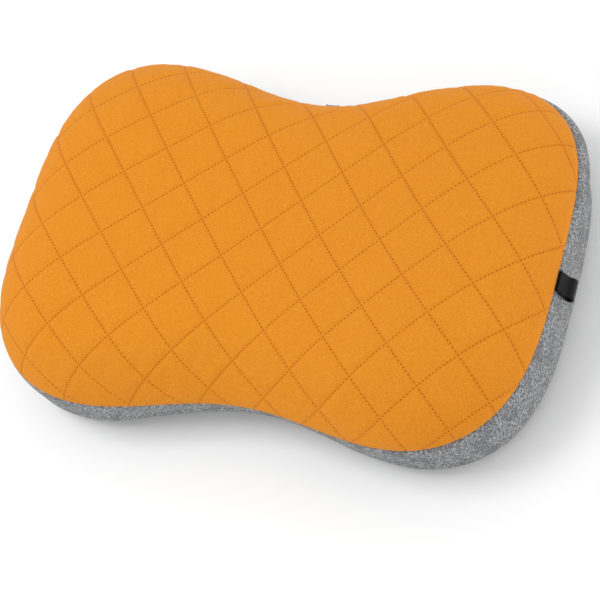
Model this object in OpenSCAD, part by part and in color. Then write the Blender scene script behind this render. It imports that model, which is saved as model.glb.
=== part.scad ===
// Inflatable camp pillow: a quilted cover with a zip, over an air bladder with tie ribs and a two-stage valve.
// The pillow lies on its base at z = 0, its length along X and its depth along Y.

/* [Outline] */
// Length of the pillow over its two ends
pillow_length = 464; // [440:2:490]
// Half depth of the outline before the waist is drawn in
half_depth = 178; // [170:1:186]
// Squareness of the four lobes, where 2 is an ellipse
lobe_power = 3.38; // [3:0.02:3.8]
// How far the rear waist is drawn in, as a share of the half depth
rear_waist = 0.28; // [0.2:0.01:0.3]
// How far the front waist is drawn in, as a share of the half depth
front_waist = 0.23; // [0.18:0.01:0.28]
// Reach of the waist along the length
waist_reach = 121; // [110:1:130]

/* [Cushion] */
// Height of the crown at the middle of the pillow
centre_height = 94; // [88:1:100]
// How much higher the crown line runs at the two ends
lobe_lift = 42; // [36:1:46]
// Height of the cover seam at the waist
waist_seam = 48.7; // [46:0.1:52]
// How much higher the cover seam runs at the two ends
seam_lift = 18; // [14:1:20]
// How far the seam sits inside the widest line at the two ends
end_inset = 6; // [4:0.5:8]
// Height of the widest line of the side wall
widest_z = 28; // [26:1:30]
// Width of the rounded lower edge
corner_run = 42; // [38:1:46]
// How far the side wall is drawn in between the edge seam and its lowest part
side_tuck = 4; // [3:0.5:6]
// How much further it is drawn in at the front waist
waist_tuck = 3; // [2:0.5:5]
// How far the underside arches up at the middle
base_arch = 7; // [6.5:0.1:7.5]
// Where the arch ends and the flat feet of the two lobes begin, from the middle
arch_reach = 140; // [136:1:146]

/* [Layers] */
// Thickness of the face fabric and of the base fabric
fabric = 1.0; // [0.8:0.1:1.1]
// Thickness of the quilting wadding
wadding = 4.0; // [3:0.5:4]
// Thickness of the quilt backing
backing = 0.5; // [0.4:0.1:0.6]
// Thickness of the bladder film
film = 0.6; // [0.5:0.1:0.8]
// Distance from the cover's face to the bladder
bladder_inset = 7; // [7:0.5:8]

/* [Zip] */
// Length of the zip
zip_length = 184; // [160:4:188]
// Width of one zip tape
tape_width = 12; // [10:1:13]

/* [Loops] */
// Width of the webbing loops
loop_width = 16; // [12:1:20]
// Length of the webbing loops
loop_length = 15; // [14:1:20]
// How far the loops sit forward of the middle of the ends
loop_forward = 10.5; // [8:0.5:12]

/* [Valve] */
// Radius of the valve's deflate bore
deflate_r = 9; // [9:0.5:9.5]
// Radius of the inflate port
inflate_r = 4; // [3.5:0.1:4.2]

/* [Hidden] */
$fn = 64;
steps = 60;
half_length = pillow_length / 2;
corner_power = 0.65;
gap = 0.3;

RAW_OUTLINE = [for (i = [0 : steps - 1]) raw_outline(360 * i / steps)];
middle_y = (max([for (p = RAW_OUTLINE) p[1]]) + min([for (p = RAW_OUTLINE) p[1]])) / 2;
OUTLINE = [for (p = RAW_OUTLINE) [p[0], p[1] - middle_y]];

TOP_RINGS = [0.25, 0.48, 0.66, 0.78, 0.86, 0.92, 0.96, 0.985, 1];
BASE_RINGS = [0.25, 0.5, 0.72, 0.88];
CORNER_TURNS = [90, 66, 44, 26, 12, 0];
WALL_STEPS = [0.35, 0.7, 1];

wadding_out = fabric + gap;
backing_out = wadding_out + wadding + gap;
film_in = bladder_inset + film;
weld_drop = 1;
weld_out = 3;

rib_positions = [-150, -75, 0, 75, 150];
rib_thick = 0.8;
rib_reach = 100;

tape_z = base_arch + fabric + gap;
tape_thick = 0.5;
tape_gap = 0.8;
teeth_high = 1.7;
teeth_reach = 2.4;
tooth_pitch = 3.2;
teeth_z = tape_z - teeth_high;
slot_half = 4;
slider_x = zip_length / 2 - 9;
slider_long = 9;
slider_half = 3.6;
plate = 1.2;
slider_low = teeth_z - 0.6 - plate;
puller_z = slider_low - 2.5;
puller_r = 0.65;
puller_long = 22;

wall_y = OUTLINE[steps / 4][1];
valve_z = 28.5;
barrel_r = deflate_r + 2;
rim_w = 3.2;
lid_w = 3.6;
lid_thick = 2;
lid_hinge = 15.6;
lid_hinge_w = 4.4;
cap_hinge = 10.2;
cap_hinge_w = 7.2;
spigot_r = inflate_r + 1;
spigot_w = 9;
flap_hinge = 6.4;
flap_w = 3.1;

loop_axis = [half_length - end_inset + 1.3, waist_seam + seam_lift - 0.5];
loop_tilt = 11;

// The widest outline: a squared oval with a waist drawn in at the front and at the rear.
function raw_outline(turn) = let (
        r = pow(pow(abs(cos(turn)) / half_length, lobe_power)
            + pow(abs(sin(turn)) / half_depth, lobe_power), -1 / lobe_power),
        x = r * cos(turn),
        y = r * sin(turn),
        waist = y > 0 ? rear_waist : front_waist)
    [x, y * (1 - waist * exp(-pow(x / waist_reach, 2)))];

// The outward direction of the outline at point i, and the point moved straight in by a distance.
function outward(i) = let (d = OUTLINE[(i + 1) % steps] - OUTLINE[(i + steps - 1) % steps])
    [d[1], -d[0]] / norm(d);
function inward(i, distance) = OUTLINE[i] - distance * outward(i);

function along(x) = pow(x / half_length, 2);
function crown_z(x) = centre_height + lobe_lift * along(x);
function seam_z(x) = waist_seam + seam_lift * along(x);
function seam_inset(x) = end_inset * along(x);
function tuck(i, u) = pow(max(0, u), 1.4) * (OUTLINE[i][1] < 0
    ? side_tuck + waist_tuck * exp(-pow(OUTLINE[i][0] / 75, 2))
    : side_tuck * (1 - exp(-pow(OUTLINE[i][0] / 80, 4))));
function arch(x) = base_arch * pow(max(0, 1 - pow(abs(x) / arch_reach, 4)), 2);
function swell(s) = pow(1 - pow(s, 4.8), 0.8);

// Rings of points, all counter-clockwise, at a depth below the cover's face.
function top_ring(s, depth, rise) = [for (i = [0 : steps - 1]) let (
        edge = inward(i, seam_inset(OUTLINE[i][0]) + depth),
        rim = seam_z(OUTLINE[i][0]) + rise,
        x = s * edge[0])
    [x, s * edge[1], rim + (crown_z(x) - depth - rim) * swell(s)]];
function wall_ring(v, depth, drop) = [for (i = [0 : steps - 1]) let (
        top = seam_z(OUTLINE[i][0]),
        z = widest_z + (top - drop - widest_z) * v,
        rise = (z - widest_z) / (top - widest_z),
        p = inward(i, depth + seam_inset(OUTLINE[i][0]) * rise * rise + tuck(i, 1 - rise)))
    [p[0], p[1], z]];
function corner_ring(turn, depth) = [for (i = [0 : steps - 1]) let (
        under = pow(sin(turn), corner_power),
        wall = depth + tuck(i, 1),
        p = inward(i, wall + (corner_run - wall) * (1 - pow(cos(turn), corner_power))))
    [p[0], p[1], depth + (widest_z - depth) * (1 - under) + arch(p[0]) * under]];
function base_ring(s, depth) = [for (p = corner_ring(90, depth))
    [s * p[0], s * p[1], depth + arch(s * p[0])]];

function top_rings(depth, rise) = [for (s = TOP_RINGS) top_ring(s, depth, rise)];
function bowl_rings(depth, drop) = concat(
    [for (s = BASE_RINGS) base_ring(s, depth)],
    [for (turn = CORNER_TURNS) corner_ring(turn, depth)],
    [for (v = WALL_STEPS) wall_ring(v, depth, drop)]);
function weld_ring(drop) = [for (i = [0 : steps - 1]) let (
        p = inward(i, weld_out + seam_inset(OUTLINE[i][0])))
    [p[0], p[1], seam_z(OUTLINE[i][0]) - drop]];

function crown_pole(depth) = [0, 0, crown_z(0) - depth];
function base_pole(depth) = [0, 0, depth + arch(0)];

// A closed solid between an upper and a lower surface, each a pole and its rings from the middle out.
module skin(upper_pole, upper, lower_pole, lower) {
    nu = len(upper);
    nl = len(lower);
    base = 1 + nu * steps;
    points = concat([upper_pole], [for (ring = upper) each ring],
        [lower_pole], [for (ring = lower) each ring]);
    faces = concat(
        [for (i = [0 : steps - 1]) [0, 1 + (i + 1) % steps, 1 + i]],
        [for (r = [0 : nu - 2], i = [0 : steps - 1]) each let (
                a = 1 + r * steps + i,
                b = 1 + r * steps + (i + 1) % steps)
            [[a, b, b + steps], [a, b + steps, a + steps]]],
        [for (i = [0 : steps - 1]) [base, base + 1 + i, base + 1 + (i + 1) % steps]],
        [for (r = [0 : nl - 2], i = [0 : steps - 1]) each let (
                a = base + 1 + r * steps + i,
                b = base + 1 + r * steps + (i + 1) % steps)
            [[a, b + steps, b], [a, a + steps, b + steps]]],
        [for (i = [0 : steps - 1]) each let (
                k = (i + 1) % steps,
                u = 1 + (nu - 1) * steps,
                l = base + 1 + (nl - 1) * steps)
            [[l + i, u + i, u + k], [l + i, u + k, l + k]]]);
    polyhedron(points = points, faces = faces, convexity = 6);
}

// One layer of the quilted top, from one depth below the face to another.
module quilt_layer(from_depth, to_depth, rise) {
    skin(crown_pole(from_depth), top_rings(from_depth, rise),
        crown_pole(to_depth), top_rings(to_depth, rise));
}

module quilted_top_panel() {
    color("darkorange") quilt_layer(0, fabric, 0);
}

module quilt_wadding() {
    color("ivory") quilt_layer(wadding_out, wadding_out + wadding, gap);
}

module quilt_backing() {
    color("gainsboro") quilt_layer(backing_out, backing_out + backing, gap);
}

// Base shell of the cover, with the zip slot in its arch and the valve's hole in its rear wall.
module cover_base() {
    color("dimgray") difference() {
        skin(base_pole(fabric), bowl_rings(fabric, gap), base_pole(0), bowl_rings(0, gap));
        translate([-zip_length / 2 - 4, -slot_half, 0])
            cube([zip_length + 8, 2 * slot_half, 12]);
        on_valve(-8) cylinder(r = barrel_r + 1.8, h = 16);
    }
}

// Strip that binds the raw edges inside the seam, a band with square edges.
module seam_tape() {
    band = [for (c = [[1.3, 1.6], [2.1, 1.6], [2.1, 5.6], [1.3, 5.6]])
        [for (i = [0 : steps - 1]) let (
                top = seam_z(OUTLINE[i][0]),
                v = (top - c[1] - widest_z) / (top - widest_z),
                p = inward(i, c[0] + seam_inset(OUTLINE[i][0]) * v * v + tuck(i, 1 - v)))
            [p[0], p[1], top - c[1]]]];
    points = [for (ring = band) each ring];
    faces = [for (c = [0 : 3], i = [0 : steps - 1]) each let (
            k = (i + 1) % steps,
            n = ((c + 1) % 4) * steps)
        [[c * steps + i, c * steps + k, n + k], [c * steps + i, n + k, n + i]]];
    color("black") polyhedron(points = points, faces = faces, convexity = 4);
}

// Webbing loop at the right end, hanging from the seam against the side wall.
module webbing_loop() {
    translate([loop_axis[0], -loop_forward, loop_axis[1]]) rotate([90, 90 - loop_tilt, 0])
        linear_extrude(height = loop_width, center = true) difference() {
            union() {
                circle(r = 0.8);
                polygon([[0, -0.8], [loop_length, 0.6], [loop_length, 7.6], [0, 0.8]]);
                translate([loop_length, 4.1]) circle(r = 3.5);
            }
            polygon([[5, 0.8], [loop_length, 1.8], [loop_length, 6.4], [5, 1.4]]);
            translate([loop_length, 4.1]) circle(r = 2.3);
        }
}

module loop_right() {
    color("black") webbing_loop();
}

module loop_left() {
    color("black") mirror([1, 0, 0]) webbing_loop();
}

module zip_tape(side) {
    low = side > 0 ? tape_gap : -tape_gap - tape_width;
    color("darkslategray") translate([-zip_length / 2, low, tape_z])
        cube([zip_length, tape_width, tape_thick]);
}

module zip_tape_front() { zip_tape(-1); }
module zip_tape_rear() { zip_tape(1); }

// One row of teeth: a thin rail on the tape with a tooth at each pitch.
module zip_teeth(side) {
    long = zip_length - 8;
    low = side > 0 ? tape_gap : -teeth_reach;
    deep = teeth_reach - tape_gap;
    color("black") {
        translate([-long / 2, low, tape_z - 0.6]) cube([long, deep, 0.6]);
        for (x = [-long / 2 : tooth_pitch : long / 2 - 2])
            translate([x, low, teeth_z]) cube([1.8, deep, teeth_high]);
    }
}

module zip_teeth_front() { zip_teeth(-1); }
module zip_teeth_rear() { zip_teeth(1); }

// A stop on each row at the closed end, and one across both rows at the open end.
module zip_end_stops() {
    end = zip_length / 2 - 3.6;
    color("black") {
        translate([end, tape_gap, teeth_z]) cube([3, 1.8, teeth_high]);
        translate([end, -tape_gap - 1.8, teeth_z]) cube([3, 1.8, teeth_high]);
        translate([-end - 3, -2.6, teeth_z]) cube([3, 5.2, teeth_high]);
    }
}

module zip_slider() {
    top_z = tape_z + tape_thick + 0.4;
    color("black") {
        for (z = [slider_low, top_z]) translate([slider_x - slider_long / 2, -slider_half, z])
            cube([slider_long, 2 * slider_half, plate]);
        translate([slider_x + 1, -0.55, slider_low + 0.5])
            cube([3, 1.1, top_z - slider_low]);
        for (y = [-slider_half, slider_half - 0.8])
            translate([slider_x - slider_long / 2, y, slider_low])
                cube([slider_long, 0.8, tape_z - gap - slider_low]);
        for (y = [-3.2, 2.2]) translate([slider_x - 1.5, y, puller_z - 1])
            cube([3, 1, slider_low - puller_z + 1.5]);
        translate([slider_x, -2.7, puller_z]) rotate([-90, 0, 0])
            cylinder(r = puller_r, h = 5.4);
    }
}

module zip_puller() {
    color("black") difference() {
        union() {
            translate([slider_x, -1.9, puller_z]) rotate([-90, 0, 0]) cylinder(r = 1.3, h = 3.8);
            translate([slider_x - puller_long, -1.9, puller_z - 0.6]) cube([puller_long, 3.8, 1.2]);
            translate([slider_x - puller_long, 0, puller_z - 0.6]) cylinder(r = 3.4, h = 1.2);
        }
        translate([slider_x, -3, puller_z]) rotate([-90, 0, 0])
            cylinder(r = puller_r + 0.06, h = 6);
        translate([slider_x - puller_long, 0, puller_z - 2]) cylinder(r = 1.4, h = 4);
    }
}

// Places a child's z axis along the valve's axis, starting at a distance from the cover's rear wall.
module on_valve(from) {
    translate([0, wall_y + from, valve_z]) rotate([-90, 0, 0]) children();
}

module valve_hole_binding() {
    color("black") on_valve(-1.8) difference() {
        cylinder(r = barrel_r + 3.4, h = 3.4);
        translate([0, 0, -1]) cylinder(r = barrel_r + 1.4, h = 6);
    }
}

module bladder_top_film() {
    color("lightsteelblue") skin(
        crown_pole(bladder_inset),
        concat(top_rings(bladder_inset, -weld_drop + film), [weld_ring(weld_drop - film)]),
        crown_pole(film_in),
        concat(top_rings(film_in, -weld_drop + 0.05), [weld_ring(weld_drop - 0.05)]));
}

module bladder_bottom_film() {
    color("lightsteelblue") difference() {
        skin(base_pole(film_in),
            concat(bowl_rings(film_in, weld_drop), [weld_ring(weld_drop)]),
            base_pole(bladder_inset),
            concat(bowl_rings(bladder_inset, weld_drop + film), [weld_ring(weld_drop + film)]));
        on_valve(-14) cylinder(r = barrel_r + 0.4, h = 14);
    }
}

// The air inside the films, less a thin clearance, from which the ribs take their outline.
module air_space() {
    depth = film_in + 0.2;
    skin(crown_pole(depth), top_rings(depth, -weld_drop + 0.3),
        base_pole(depth), bowl_rings(depth, weld_drop + 0.3));
}

module tie_rib(x) {
    color("lightsteelblue") intersection() {
        translate([x - rib_thick / 2, -rib_reach, 0]) cube([rib_thick, 2 * rib_reach, 200]);
        air_space();
    }
}

module tie_rib_1() { tie_rib(rib_positions[0]); }
module tie_rib_2() { tie_rib(rib_positions[1]); }
module tie_rib_3() { tie_rib(rib_positions[2]); }
module tie_rib_4() { tie_rib(rib_positions[3]); }
module tie_rib_5() { tie_rib(rib_positions[4]); }

// Valve body: weld flange, barrel, rim with the seal's groove, and the ears and pin of the lid's hinge.
module valve_body() {
    color("darkgray") on_valve(0) {
        difference() {
            union() {
                translate([0, 0, -9.5]) cylinder(r = barrel_r + 3.2, h = 2.9);
                translate([0, 0, -9.5]) cylinder(r = barrel_r, h = 9.5 + rim_w);
                translate([0, 0, rim_w - 1.2]) cylinder(r = barrel_r + 2.3, h = 1.2);
            }
            translate([0, 0, -10]) cylinder(r = deflate_r, h = 20);
            translate([0, 0, rim_w - 1]) difference() {
                cylinder(r = deflate_r + 1.7, h = 2);
                translate([0, 0, -1]) cylinder(r = deflate_r + 0.4, h = 4);
            }
        }
        for (x = [-5.8, 4.2]) translate([x, -lid_hinge - 1.9, rim_w - 1.2]) {
            cube([1.6, 6, 1.2]);
            cube([1.6, 4.8, 4.2]);
        }
        translate([-5, -lid_hinge, lid_hinge_w]) rotate([0, 90, 0]) cylinder(r = 0.9, h = 10);
    }
}

module valve_seal_ring() {
    color("black") on_valve(0) translate([0, 0, rim_w - 0.36])
        rotate_extrude() translate([deflate_r + 1.05, 0]) circle(r = 0.6, $fn = 24);
}

// Lid over the deflate bore, with its plug, its hinge eye, the inflate spigot and the cap's ears and pin.
module deflate_lid() {
    color("darkgray") on_valve(0) {
        difference() {
            union() {
                translate([0, 0, lid_w]) cylinder(r = barrel_r + 1.2, h = lid_thick);
                translate([0, 0, -1.5]) cylinder(r1 = deflate_r - 1, r2 = deflate_r - 0.5, h = 5.2);
                translate([0, 0, lid_w]) cylinder(r = spigot_r, h = spigot_w - lid_w);
                translate([-3.9, -lid_hinge, lid_w]) cube([7.8, 6, 1.6]);
                translate([-3.9, -lid_hinge, lid_hinge_w]) rotate([0, 90, 0])
                    cylinder(r = 1.9, h = 7.8);
            }
            translate([0, 0, -2]) cylinder(r = deflate_r - 1.8, h = 2 + lid_w);
            translate([0, 0, -2]) cylinder(r = inflate_r, h = 14);
            translate([-5, -lid_hinge, lid_hinge_w]) rotate([0, 90, 0]) cylinder(r = 0.96, h = 10);
        }
        for (x = [-3.8, 2.6]) translate([x, cap_hinge - 1.4, lid_w + lid_thick - 0.5])
            cube([1.2, 2.8, 3.3]);
        translate([-3.2, cap_hinge, cap_hinge_w]) rotate([0, 90, 0]) cylinder(r = 0.7, h = 6.4);
    }
}

module check_flap() {
    color("dimgray") on_valve(0) translate([0, 0, flap_w - 0.3]) {
        cylinder(r = spigot_r + 0.6, h = 0.6);
        translate([-2, -flap_hinge, 0]) cube([4, 3, 0.6]);
        translate([-2, -flap_hinge, 0.3]) rotate([0, 90, 0]) cylinder(r = 0.35, h = 4);
    }
}

module inflate_cap() {
    skirt_w = lid_w + lid_thick + gap;
    color("darkorange") on_valve(0) difference() {
        union() {
            translate([0, 0, skirt_w]) cylinder(r = spigot_r + 1.8, h = 4.5);
            translate([-2.3, 5, cap_hinge_w - 0.7]) cube([4.6, cap_hinge - 5, 1.4]);
            translate([-2.3, cap_hinge, cap_hinge_w]) rotate([0, 90, 0])
                cylinder(r = 1.3, h = 4.6);
        }
        translate([0, 0, skirt_w - 1]) cylinder(r = spigot_r + 0.4, h = 4.4);
        translate([-4, cap_hinge, cap_hinge_w]) rotate([0, 90, 0]) cylinder(r = 0.76, h = 8);
    }
}

quilted_top_panel();
quilt_wadding();
quilt_backing();
cover_base();
seam_tape();
loop_right();
loop_left();
zip_tape_front();
zip_tape_rear();
zip_teeth_front();
zip_teeth_rear();
zip_end_stops();
zip_slider();
zip_puller();
valve_hole_binding();
bladder_top_film();
bladder_bottom_film();
tie_rib_1();
tie_rib_2();
tie_rib_3();
tie_rib_4();
tie_rib_5();
valve_body();
valve_seal_ring();
deflate_lid();
check_flap();
inflate_cap();
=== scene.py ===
import math
import bpy
import bmesh
import numpy as np
from mathutils import Matrix, Vector


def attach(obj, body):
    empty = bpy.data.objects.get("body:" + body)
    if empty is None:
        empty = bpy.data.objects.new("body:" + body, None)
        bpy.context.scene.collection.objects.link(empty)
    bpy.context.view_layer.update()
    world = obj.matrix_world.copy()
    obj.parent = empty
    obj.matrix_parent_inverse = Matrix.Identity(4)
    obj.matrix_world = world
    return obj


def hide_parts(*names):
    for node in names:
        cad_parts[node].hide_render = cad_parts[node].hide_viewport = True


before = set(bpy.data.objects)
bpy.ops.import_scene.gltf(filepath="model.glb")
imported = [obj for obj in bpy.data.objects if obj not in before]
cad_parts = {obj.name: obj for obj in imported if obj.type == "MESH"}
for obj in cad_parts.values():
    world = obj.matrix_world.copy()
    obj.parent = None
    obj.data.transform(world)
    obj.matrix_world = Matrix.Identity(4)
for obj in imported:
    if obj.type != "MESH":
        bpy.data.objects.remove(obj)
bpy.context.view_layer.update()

# ------------------------------------------------------------------------------
# Studio: a pale floor under two large soft lights and a bright surround. The camera looks down
# on the front right corner, rolled about its own axis.
# ------------------------------------------------------------------------------

scene = bpy.context.scene
scene.view_settings.view_transform = "Standard"

CAMERA_TURN = math.radians(46.4)
CAMERA_RISE = math.radians(56.5)
CAMERA_ROLL = math.radians(-34.4)
CAMERA_DISTANCE = 1.479
CAMERA_TARGET = Vector((0.0145, -0.0322, 0.0271))
CAMERA_LENS = 113.4

towards = Vector((math.sin(CAMERA_TURN) * math.cos(CAMERA_RISE),
                  -math.cos(CAMERA_TURN) * math.cos(CAMERA_RISE),
                  math.sin(CAMERA_RISE)))
level = Vector((math.cos(CAMERA_TURN), math.sin(CAMERA_TURN), 0))
upright = towards.cross(level)
view_right = level * math.cos(CAMERA_ROLL) + upright * math.sin(CAMERA_ROLL)
view_up = upright * math.cos(CAMERA_ROLL) - level * math.sin(CAMERA_ROLL)

camera_data = bpy.data.cameras.new("camera")
camera_data.lens = CAMERA_LENS
camera_data.sensor_width = 36
camera = bpy.data.objects.new("camera", camera_data)
scene.collection.objects.link(camera)
camera_axes = Matrix((view_right, view_up, towards)).transposed().to_4x4()
camera.matrix_world = Matrix.Translation(CAMERA_TARGET + towards * CAMERA_DISTANCE) @ camera_axes
scene.camera = camera


def soft_light(name, direction, distance, size, power):
    """A square area light that faces the pillow from a direction."""
    data = bpy.data.lights.new(name, "AREA")
    data.shape = "SQUARE"
    data.size = size
    data.energy = power
    light = bpy.data.objects.new(name, data)
    scene.collection.objects.link(light)
    aim = direction.normalized()
    light.matrix_world = (Matrix.Translation(aim * distance)
                          @ aim.to_track_quat("Z", "Y").to_matrix().to_4x4())


soft_light("key", towards * 0.75 - view_right * 0.8 + view_up * 0.45, 1.9, 0.85, 12)
soft_light("right", towards * 0.35 + view_right * 0.9 + view_up * 0.15, 1.8, 1.2, 9)

world = bpy.data.worlds.new("surround")
world.use_nodes = True
world.node_tree.nodes["Background"].inputs["Color"].default_value = (1, 1, 1, 1)
world.node_tree.nodes["Background"].inputs["Strength"].default_value = 0.82
scene.world = world


class Wire:
    """One output of a shader node. Arithmetic on it adds Math nodes."""

    def __init__(self, finish, socket):
        self.finish, self.socket = finish, socket

    def math(self, operation, *others):
        return self.finish.node("ShaderNodeMath", {"operation": operation},
                                dict(enumerate((self,) + others)))

    def __add__(self, other): return self.math("ADD", other)
    def __mul__(self, other): return self.math("MULTIPLY", other)
    def __sub__(self, other): return self.math("SUBTRACT", other)
    def __rsub__(self, other): return self.finish.number(other).math("SUBTRACT", self)
    def __abs__(self): return self.math("ABSOLUTE")
    __radd__, __rmul__ = __add__, __mul__


class Finish:
    """A material, its node tree, and one method that adds any node to it."""

    def __init__(self, name):
        self.material = bpy.data.materials.new(name)
        self.material.use_nodes = True
        self.tree = self.material.node_tree
        self.shader = self.tree.nodes["Principled BSDF"]

    def node(self, kind, settings=None, inputs=None, output=0):
        made = self.tree.nodes.new(kind)
        for key, value in (settings or {}).items():
            setattr(made, key, value)
        for key, value in (inputs or {}).items():
            if isinstance(value, Wire):
                self.tree.links.new(value.socket, made.inputs[key])
            else:
                made.inputs[key].default_value = value
        return Wire(self, made.outputs[output])

    def number(self, value):
        return self.node("ShaderNodeMath", {"operation": "ADD"}, {0: value, 1: 0.0})

    def mix(self, amount, low, high):
        """A colour between two colours."""
        return self.node("ShaderNodeMix", {"data_type": "RGBA"}, {0: amount, 6: low, 7: high}, 2)

    def place(self, stretch=(1, 1, 1), turn=(0, 0, 0), uv=None):
        """Object coordinates, or a UV map's, stretched and turned."""
        source = (self.node("ShaderNodeUVMap", {"uv_map": uv}) if uv
                  else self.node("ShaderNodeTexCoord", {}, {}, "Object"))
        return self.node("ShaderNodeMapping", {}, {"Vector": source, "Scale": stretch, "Rotation": turn})

    def noise(self, where, scale, detail=2.0, rough=0.5):
        return self.node("ShaderNodeTexNoise", {}, {
            "Vector": where, "Scale": scale, "Detail": detail, "Roughness": rough})

    def part(self, vector, axis):
        return self.node("ShaderNodeSeparateXYZ", {}, {0: vector}, axis)

    def steps(self, value, low, high):
        """0 below low, 1 above high, smooth between."""
        return self.node("ShaderNodeMapRange", {"interpolation_type": "SMOOTHSTEP"},
                         {0: value, 1: low, 2: high, 3: 0.0, 4: 1.0})

    def bump(self, height, distance, strength=1.0, under=None):
        sockets = {"Height": height, "Distance": distance, "Strength": strength}
        if under is not None:
            sockets["Normal"] = under
        return self.node("ShaderNodeBump", {}, sockets)

    def surface(self, **sockets):
        """Sets or links the shader's own sockets, named with _ for a space."""
        for key, value in sockets.items():
            socket = self.shader.inputs[key.replace("_", " ")]
            if isinstance(value, Wire):
                self.tree.links.new(value.socket, socket)
            else:
                socket.default_value = value
        return self.material


def srgb(red, green, blue):
    """A colour given as 0 to 255 values on a screen, as linear light."""
    return tuple((c / 255 / 12.92) if c / 255 <= 0.04045 else ((c / 255 + 0.055) / 1.055) ** 2.4
                 for c in (red, green, blue)) + (1.0,)


def new_piece(name, bm, material, body=None, stands_for=()):
    """Makes a smooth-shaded object of a finished bmesh, and says what it rides on and stands for."""
    mesh = bpy.data.meshes.new(name)
    bm.to_mesh(mesh)
    bm.free()
    mesh.materials.append(material)
    mesh.shade_smooth()
    piece = bpy.data.objects.new(name, mesh)
    scene.collection.objects.link(piece)
    if body:
        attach(piece, body)
    if stands_for:
        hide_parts(*stands_for)
    return piece


floor_finish = Finish("studio_floor")
floor_grain = floor_finish.noise(floor_finish.place(), 9.0)
floor_finish.surface(
    Base_Color=floor_finish.mix(floor_grain, srgb(250, 250, 250), srgb(252, 252, 252)),
    Roughness=0.8)
floor_mesh = bmesh.new()
bmesh.ops.create_grid(floor_mesh, x_segments=1, y_segments=1, size=6)
bmesh.ops.translate(floor_mesh, vec=(0, 0, -0.0002), verts=floor_mesh.verts)
new_piece("studio_floor", floor_mesh, floor_finish.material)

# ------------------------------------------------------------------------------
# Quilted top: orange micro-fleece, sewn through wadding and a lining in squares set on the
# diagonal, with its edge turned in and sewn to the base. It is settled as cloth held along the
# seams, so that each square puffs up.
# ------------------------------------------------------------------------------

MM = 0.001
HALF_LENGTH = 232 * MM
HALF_DEPTH = 178 * MM
LOBE_POWER = 3.38
REAR_WAIST = 0.28
FRONT_WAIST = 0.23
WAIST_REACH = 121 * MM
CENTRE_HEIGHT = 94 * MM
LOBE_LIFT = 42 * MM
WAIST_SEAM = 48.7 * MM
SEAM_LIFT = 18 * MM
END_INSET = 6 * MM
DOME_FLATNESS = 4.8
DOME_SHOULDER = 0.8
LOBE_TURN = 36
LOBE_SPREAD = 20
AROUND = 480

turns = np.linspace(0, 2 * np.pi, AROUND, endpoint=False)
radii = ((np.abs(np.cos(turns)) / HALF_LENGTH) ** LOBE_POWER
         + (np.abs(np.sin(turns)) / HALF_DEPTH) ** LOBE_POWER) ** (-1 / LOBE_POWER)
outline = np.stack([radii * np.cos(turns), radii * np.sin(turns)], axis=1)
waist = np.where(outline[:, 1] > 0, REAR_WAIST, FRONT_WAIST)
outline[:, 1] *= 1 - waist * np.exp(-(outline[:, 0] / WAIST_REACH) ** 2)
outline[:, 1] -= (outline[:, 1].max() + outline[:, 1].min()) / 2
ahead = np.roll(outline, -1, axis=0) - np.roll(outline, 1, axis=0)
outward = np.stack([ahead[:, 1], -ahead[:, 0]], axis=1)
outward /= np.linalg.norm(outward, axis=1)[:, None]


def along(x):
    """0 at the waist, 1 at the ends."""
    return (x / HALF_LENGTH) ** 2


seam_height = WAIST_SEAM + SEAM_LIFT * along(outline[:, 0])
off_axis = np.degrees(np.arccos(np.abs(np.cos(turns))))
rear_lobe = np.exp(-((off_axis - LOBE_TURN) / LOBE_SPREAD) ** 2) * (outline[:, 1] > 0)
seam_inset = END_INSET * along(outline[:, 0])


def inward(distance):
    """The outline moved in towards the middle."""
    return outline - np.reshape(distance, (-1, 1)) * outward


def dome(angle, share, depth):
    """Points on the top at a polar angle and a share of the way out to the seam."""
    line = inward(seam_inset + depth)
    bearing = np.unwrap(np.arctan2(line[:, 1], line[:, 0]))
    bearing = np.concatenate([bearing - 2 * np.pi, bearing, bearing + 2 * np.pi])
    edge = np.interp(angle, bearing, np.tile(np.hypot(line[:, 0], line[:, 1]), 3))
    rim = np.interp(angle, bearing, np.tile(seam_height, 3))
    x, y = share * edge * np.cos(angle), share * edge * np.sin(angle)
    swell = np.clip(1 - share ** DOME_FLATNESS, 0, 1) ** DOME_SHOULDER
    crown = CENTRE_HEIGHT + LOBE_LIFT * along(x) - depth
    return np.stack([x, y, rim + (crown - rim) * swell], axis=-1)


QUILT_CELL = 37.09 * MM
QUILT_TURN = math.radians(-1.7)
QUILT_STRETCH = 0.05
QUILT_BOW = 20 * MM
QUILT_SHIFT = (0.18, -0.08)
QUILT_REACH = 0.2
QUILT_SQUARES = 20
EDGE_TURNED_IN = 0.6 * MM
SHARES = np.linspace(0, 1, 90) ** 0.8


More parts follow.
